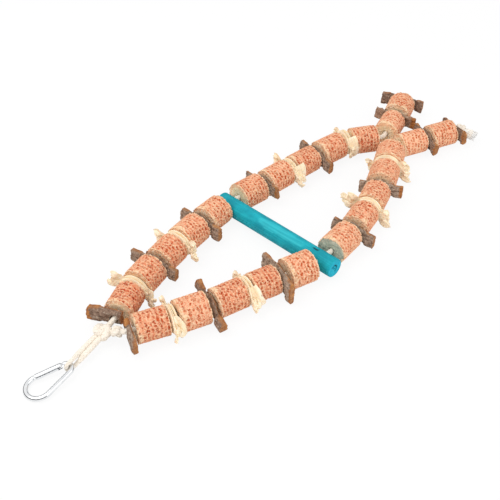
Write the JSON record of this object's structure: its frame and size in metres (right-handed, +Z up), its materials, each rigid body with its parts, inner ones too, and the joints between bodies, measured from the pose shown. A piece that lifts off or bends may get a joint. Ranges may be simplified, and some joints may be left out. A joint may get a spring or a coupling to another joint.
{
  "type": "hanging bird chew toy",
  "caption": "Hanging chew toy for a cage bird: corn cob slices, bark and folded husk strips on two cotton strands with a dyed wooden perch between them, on a snap hook.",
  "frame": {"origin": "on the floor under the middle of the toy's box, with the toy laid flat on its cobs", "axes": "+X from the snap hook to the two tails, +Y to the strand with the shorter perch end, +Z up"},
  "size_m": [0.4844, 0.1388, 0.0268],
  "materials": {
    "corn_cob": "dry pitted cob, salmon and orange with cream flecks",
    "bark": "rough grey-brown bark with orange-brown cut edges",
    "husk": "soft matt dried husk, ivory",
    "cotton_cord": "braided undyed cotton",
    "dyed_wood": "turquoise dyed wood, satin",
    "polished_steel": "bright nickel plated steel"
  },
  "bodies": {
    "root": {"top_knot": "cotton_cord", "perch": "dyed_wood", "left_cord_top": "cotton_cord", "right_cord_top": "cotton_cord"},
    "hanger": {"hanger_loop": "cotton_cord"},
    "hook": {"hook_body": "polished_steel", "gate_pin": "polished_steel"},
    "gate": {"hook_gate": "polished_steel", "gate_spring": "polished_steel"},
    "left_tail": {"left_cord_middle": "cotton_cord"},
    "right_tail": {"right_cord_middle": "cotton_cord"},
    "left_tip": {"left_cord_tip": "cotton_cord"},
    "right_tip": {"right_cord_tip": "cotton_cord"},
    "left_cob_1": {"left_cob_1": "corn_cob"},
    "left_cob_2": {"left_cob_2": "corn_cob"},
    "left_cob_3": {"left_cob_3": "corn_cob"},
    "left_cob_4": {"left_cob_4": "corn_cob"},
    "left_cob_5": {"left_cob_5": "corn_cob"},
    "left_cob_6": {"left_cob_6": "corn_cob"},
    "left_cob_7": {"left_cob_7": "corn_cob"},
    "left_cob_8": {"left_cob_8": "corn_cob"},
    "left_cob_9": {"left_cob_9": "corn_cob"},
    "left_cob_10": {"left_cob_10": "corn_cob"},
    "left_cob_11": {"left_cob_11": "corn_cob"},
    "left_cob_12": {"left_cob_12": "corn_cob"},
    "right_cob_1": {"right_cob_1": "corn_cob"},
    "right_cob_2": {"right_cob_2": "corn_cob"},
    "right_cob_3": {"right_cob_3": "corn_cob"},
    "right_cob_4": {"right_cob_4": "corn_cob"},
    "right_cob_5": {"right_cob_5": "corn_cob"},
    "right_cob_6": {"right_cob_6": "corn_cob"},
    "right_cob_7": {"right_cob_7": "corn_cob"},
    "right_cob_8": {"right_cob_8": "corn_cob"},
    "right_cob_9": {"right_cob_9": "corn_cob"},
    "right_cob_10": {"right_cob_10": "corn_cob"},
    "right_cob_11": {"right_cob_11": "corn_cob"},
    "right_cob_12": {"right_cob_12": "corn_cob"},
    "left_bark_1": {"left_bark_1": "bark"},
    "left_bark_2": {"left_bark_2": "bark"},
    "left_bark_3": {"left_bark_3": "bark"},
    "left_bark_4": {"left_bark_4": "bark"},
    "left_bark_5": {"left_bark_5": "bark"},
    "left_bark_6": {"left_bark_6": "bark"},
    "left_bark_7": {"left_bark_7": "bark"},
    "right_bark_1": {"right_bark_1": "bark"},
    "right_bark_2": {"right_bark_2": "bark"},
    "right_bark_3": {"right_bark_3": "bark"},
    "right_bark_4": {"right_bark_4": "bark"},
    "right_bark_5": {"right_bark_5": "bark"},
    "right_bark_6": {"right_bark_6": "bark"},
    "right_bark_7": {"right_bark_7": "bark"},
    "left_husk_1": {"left_husk_1": "husk"},
    "left_husk_2": {"left_husk_2": "husk"},
    "left_husk_3": {"left_husk_3": "husk"},
    "left_husk_4": {"left_husk_4": "husk"},
    "right_husk_1": {"right_husk_1": "husk"},
    "right_husk_2": {"right_husk_2": "husk"},
    "right_husk_3": {"right_husk_3": "husk"},
    "right_husk_4": {"right_husk_4": "husk"}
  },
  "joints": [
    {"name": "hanger_fold", "type": "hinge", "parent": "root", "child": "hanger", "pos_m": [-0.17036, 0.00182, 0.00874], "axis": [-0.2588, 0.9659, 0], "range_deg": [-90, 90]},
    {"name": "hook_swing", "type": "hinge", "parent": "hanger", "child": "hook", "pos_m": [-0.20465, -0.00736, 0.007], "axis": [0.0523, 0.9986, 0], "range_deg": [-90, 90]},
    {"name": "gate_hinge", "type": "hinge", "parent": "hook", "child": "gate", "pos_m": [-0.21043, -0.00206, 0.00615], "axis": [-0.1387, 0.0073, 0.9903], "range_deg": [0, 32], "stiffness_Nm_per_rad": 0.01, "springref_deg": -28.65},
    {"name": "left_tail_fold", "type": "hinge", "parent": "root", "child": "left_tail", "pos_m": [-0.00597, 0.04642, 0.0109], "axis": [-0.0632, 0.998, 0], "range_deg": [-65, 80]},
    {"name": "right_tail_fold", "type": "hinge", "parent": "root", "child": "right_tail", "pos_m": [0.00041, -0.05438, 0.0109], "axis": [-0.0632, 0.998, 0], "range_deg": [-65, 80]},
    {"name": "left_tip_fold", "type": "hinge", "parent": "left_tail", "child": "left_tip", "pos_m": [0.16208, 0.02234, 0.0134], "axis": [-0.3746, 0.9272, 0], "range_deg": [-20, 20]},
    {"name": "right_tip_fold", "type": "hinge", "parent": "right_tail", "child": "right_tip", "pos_m": [0.1575, 0.00648, 0.0134], "axis": [0.3256, 0.9455, 0], "range_deg": [-20, 20]},
    {"name": "left_cob_1_turn", "type": "hinge", "parent": "root", "child": "left_cob_1", "pos_m": [-0.14192, 0.01164, 0.0134], "axis": [0.8828, 0.4698, 0], "continuous": true},
    {"name": "left_cob_2_turn", "type": "hinge", "parent": "root", "child": "left_cob_2", "pos_m": [-0.11332, 0.02383, 0.0134], "axis": [0.9509, 0.3094, 0], "continuous": true},
    {"name": "left_cob_3_turn", "type": "hinge", "parent": "root", "child": "left_cob_3", "pos_m": [-0.08554, 0.03208, 0.0134], "axis": [0.9658, 0.2592, 0], "continuous": true},
    {"name": "left_cob_4_turn", "type": "hinge", "parent": "root", "child": "left_cob_4", "pos_m": [-0.05644, 0.03906, 0.0134], "axis": [0.9781, 0.2083, 0], "continuous": true},
    {"name": "left_cob_5_turn", "type": "hinge", "parent": "root", "child": "left_cob_5", "pos_m": [-0.0266, 0.04436, 0.0134], "axis": [0.9902, 0.1396, 0], "continuous": true},
    {"name": "left_cob_6_turn", "type": "hinge", "parent": "left_tail", "child": "left_cob_6", "pos_m": [0.01643, 0.04598, 0.0134], "axis": [0.9988, -0.0494, 0], "continuous": true},
    {"name": "left_cob_7_turn", "type": "hinge", "parent": "left_tail", "child": "left_cob_7", "pos_m": [0.04705, 0.04501, 0.0134], "axis": [0.9999, -0.0145, 0], "continuous": true},
    {"name": "left_cob_8_turn", "type": "hinge", "parent": "left_tail", "child": "left_cob_8", "pos_m": [0.079, 0.04426, 0.0134], "axis": [0.9995, -0.032, 0], "continuous": true},
    {"name": "left_cob_9_turn", "type": "hinge", "parent": "left_tail", "child": "left_cob_9", "pos_m": [0.11138, 0.04238, 0.0134], "axis": [0.9964, -0.0842, 0], "continuous": true},
    {"name": "left_cob_10_turn", "type": "hinge", "parent": "left_tail", "child": "left_cob_10", "pos_m": [0.14547, 0.03186, 0.0134], "axis": [0.8675, -0.4975, 0], "continuous": true},
    {"name": "left_cob_11_turn", "type": "hinge", "parent": "left_tip", "child": "left_cob_11", "pos_m": [0.17994, 0.02955, 0.01274], "axis": [0.9272, 0.3746, 0], "continuous": true},
    {"name": "left_cob_12_turn", "type": "hinge", "parent": "left_tip", "child": "left_cob_12", "pos_m": [0.20886, 0.04243, 0.01274], "axis": [0.8988, 0.4384, 0], "continuous": true},
    {"name": "right_cob_1_turn", "type": "hinge", "parent": "root", "child": "right_cob_1", "pos_m": [-0.14233, -0.01955, 0.0134], "axis": [0.9334, -0.3587, 0], "continuous": true},
    {"name": "right_cob_2_turn", "type": "hinge", "parent": "root", "child": "right_cob_2", "pos_m": [-0.11245, -0.02988, 0.0134], "axis": [0.9562, -0.2928, 0], "continuous": true},
    {"name": "right_cob_3_turn", "type": "hinge", "parent": "root", "child": "right_cob_3", "pos_m": [-0.08272, -0.03756, 0.0134], "axis": [0.9781, -0.2083, 0], "continuous": true},
    {"name": "right_cob_4_turn", "type": "hinge", "parent": "root", "child": "right_cob_4", "pos_m": [-0.05346, -0.04405, 0.0134], "axis": [0.9743, -0.2253, 0], "continuous": true},
    {"name": "right_cob_5_turn", "type": "hinge", "parent": "root", "child": "right_cob_5", "pos_m": [-0.02267, -0.05117, 0.0134], "axis": [0.9743, -0.2253, 0], "continuous": true},
    {"name": "right_cob_6_turn", "type": "hinge", "parent": "right_tail", "child": "right_cob_6", "pos_m": [0.02477, -0.05127, 0.0134], "axis": [0.9853, 0.1708, 0], "continuous": true},
    {"name": "right_cob_7_turn", "type": "hinge", "parent": "right_tail", "child": "right_cob_7", "pos_m": [0.05764, -0.04328, 0.0134], "axis": [0.952, 0.3062, 0], "continuous": true},
    {"name": "right_cob_8_turn", "type": "hinge", "parent": "right_tail", "child": "right_cob_8", "pos_m": [0.08708, -0.0321, 0.0134], "axis": [0.9147, 0.4041, 0], "continuous": true},
    {"name": "right_cob_9_turn", "type": "hinge", "parent": "right_tail", "child": "right_cob_9", "pos_m": [0.11498, -0.01827, 0.0134], "axis": [0.876, 0.4823, 0], "continuous": true},
    {"name": "right_cob_10_turn", "type": "hinge", "parent": "right_tail", "child": "right_cob_10", "pos_m": [0.1414, -0.00313, 0.0134], "axis": [0.8587, 0.5125, 0], "continuous": true},
    {"name": "right_cob_11_turn", "type": "hinge", "parent": "right_tip", "child": "right_cob_11", "pos_m": [0.17546, 0.0003, 0.01175], "axis": [0.9455, -0.3256, 0], "continuous": true},
    {"name": "right_cob_12_turn", "type": "hinge", "parent": "right_tip", "child": "right_cob_12", "pos_m": [0.20533, -0.0097, 0.01175], "axis": [0.9511, -0.309, 0], "continuous": true},
    {"name": "left_bark_1_turn", "type": "hinge", "parent": "root", "child": "left_bark_1", "pos_m": [-0.15486, 0.00476, 0.0134], "axis": [0.8828, 0.4698, 0], "range_deg": [-60, 60]},
    {"name": "left_bark_2_turn", "type": "hinge", "parent": "root", "child": "left_bark_2", "pos_m": [-0.09954, 0.02832, 0.0134], "axis": [0.9587, 0.2844, 0], "continuous": true},
    {"name": "left_bark_3_turn", "type": "hinge", "parent": "root", "child": "left_bark_3", "pos_m": [-0.04124, 0.04229, 0.0134], "axis": [0.9847, 0.1741, 0], "continuous": true},
    {"name": "left_bark_4_turn", "type": "hinge", "parent": "left_tail", "child": "left_bark_4", "pos_m": [0.03161, 0.04523, 0.0134], "axis": [0.9995, -0.032, 0], "continuous": true},
    {"name": "left_bark_5_turn", "type": "hinge", "parent": "left_tail", "child": "left_bark_5", "pos_m": [0.09546, 0.04373, 0.0134], "axis": [0.9983, -0.0581, 0], "continuous": true},
    {"name": "left_bark_6_turn", "type": "hinge", "parent": "left_tip", "child": "left_bark_6", "pos_m": [0.19462, 0.03548, 0.01274], "axis": [0.9135, 0.4067, 0], "continuous": true},
    {"name": "left_bark_7_turn", "type": "hinge", "parent": "left_tip", "child": "left_bark_7", "pos_m": [0.2227, 0.04918, 0.01274], "axis": [0.8988, 0.4384, 0], "continuous": true},
    {"name": "right_bark_1_turn", "type": "hinge", "parent": "root", "child": "right_bark_1", "pos_m": [-0.15711, -0.01387, 0.0134], "axis": [0.9334, -0.3587, 0], "range_deg": [-60, 60]},
    {"name": "right_bark_2_turn", "type": "hinge", "parent": "root", "child": "right_bark_2", "pos_m": [-0.09798, -0.03431, 0.0134], "axis": [0.968, -0.2508, 0], "continuous": true},
    {"name": "right_bark_3_turn", "type": "hinge", "parent": "root", "child": "right_bark_3", "pos_m": [-0.03831, -0.04755, 0.0134], "axis": [0.9743, -0.2253, 0], "continuous": true},
    {"name": "right_bark_4_turn", "type": "hinge", "parent": "right_tail", "child": "right_bark_4", "pos_m": [0.04223, -0.04824, 0.0134], "axis": [0.971, 0.2391, 0], "continuous": true},
    {"name": "right_bark_5_turn", "type": "hinge", "parent": "right_tail", "child": "right_bark_5", "pos_m": [0.1012, -0.02586, 0.0134], "axis": [0.8962, 0.4436, 0], "continuous": true},
    {"name": "right_bark_6_turn", "type": "hinge", "parent": "right_tip", "child": "right_bark_6", "pos_m": [0.19035, -0.00483, 0.01175], "axis": [0.9483, -0.3173, 0], "continuous": true},
    {"name": "right_bark_7_turn", "type": "hinge", "parent": "right_tip", "child": "right_bark_7", "pos_m": [0.22039, -0.01459, 0.01175], "axis": [0.9511, -0.309, 0], "continuous": true},
    {"name": "left_husk_1_turn", "type": "hinge", "parent": "root", "child": "left_husk_1", "pos_m": [-0.12798, 0.01907, 0.0134], "axis": [0.9203, 0.3911, 0], "continuous": true},
    {"name": "left_husk_2_turn", "type": "hinge", "parent": "root", "child": "left_husk_2", "pos_m": [-0.07145, 0.03586, 0.0134], "axis": [0.9723, 0.2338, 0], "continuous": true},
    {"name": "left_husk_3_turn", "type": "hinge", "parent": "left_tail", "child": "left_husk_3", "pos_m": [0.06266, 0.04478, 0.0134], "axis": [0.9997, -0.0233, 0], "continuous": true},
    {"name": "left_husk_4_turn", "type": "hinge", "parent": "left_tail", "child": "left_husk_4", "pos_m": [0.12984, 0.04083, 0.0134], "axis": [0.9546, -0.2979, 0], "continuous": true},
    {"name": "right_husk_1_turn", "type": "hinge", "parent": "root", "child": "right_husk_1", "pos_m": [-0.12724, -0.02535, 0.0134], "axis": [0.9454, -0.326, 0], "continuous": true},
    {"name": "right_husk_2_turn", "type": "hinge", "parent": "root", "child": "right_husk_2", "pos_m": [-0.06746, -0.04081, 0.0134], "axis": [0.9762, -0.2168, 0], "continuous": true},
    {"name": "right_husk_3_turn", "type": "hinge", "parent": "right_tail", "child": "right_husk_3", "pos_m": [0.07277, -0.03842, 0.0134], "axis": [0.9346, 0.3556, 0], "continuous": true},
    {"name": "right_husk_4_turn", "type": "hinge", "parent": "right_tail", "child": "right_husk_4", "pos_m": [0.12854, -0.01081, 0.0134], "axis": [0.8675, 0.4975, 0], "continuous": true}
  ]
}
